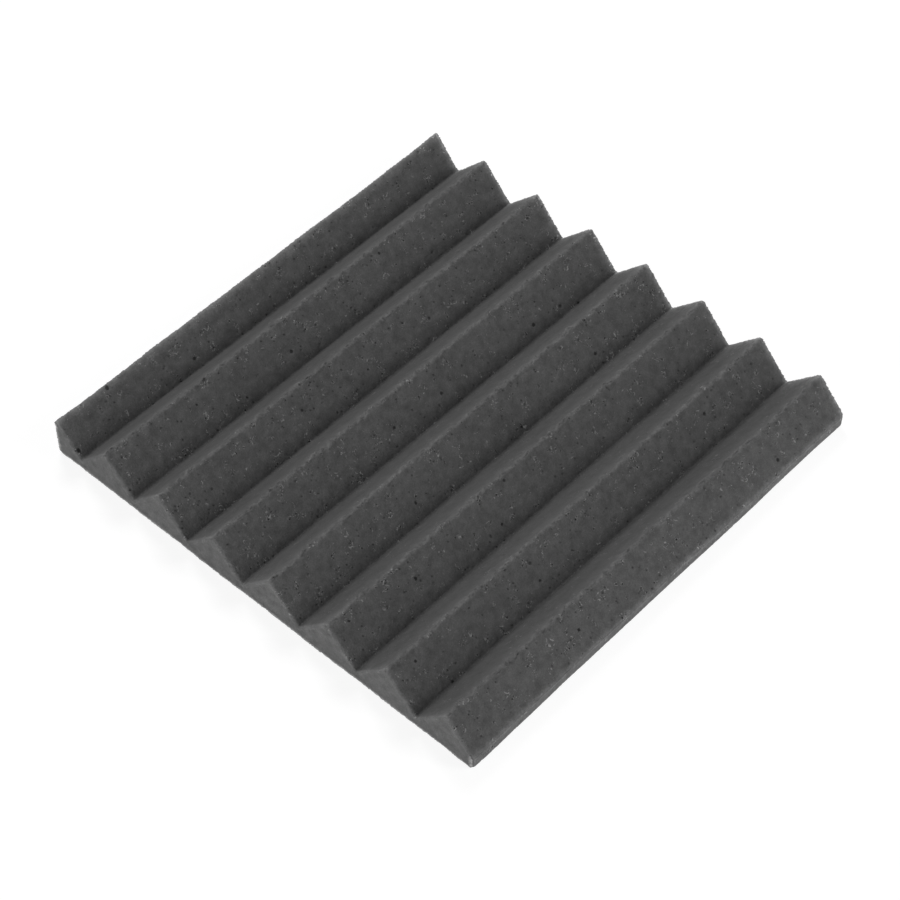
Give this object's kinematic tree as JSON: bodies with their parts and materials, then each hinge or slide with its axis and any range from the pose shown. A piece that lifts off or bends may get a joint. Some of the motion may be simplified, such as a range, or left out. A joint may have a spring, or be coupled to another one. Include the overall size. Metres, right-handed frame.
{
  "type": "acoustic foam panel",
  "caption": "Square sound-absorbing foam tile with a flat back and straight parallel V wedges across its front.",
  "frame": {"origin": "middle of the flat back face, which is glued to the wall", "axes": "+X across the wedges from the tall cut side to the low cut side, +Y along the wedges, +Z out of the back face towards the ridges"},
  "size_m": [0.3, 0.3, 0.0275],
  "materials": {
    "foam": "open-cell foam, charcoal grey, matte"
  },
  "bodies": {
    "root": {"wedge_foam_tile": "foam"}
  },
  "joints": []
}
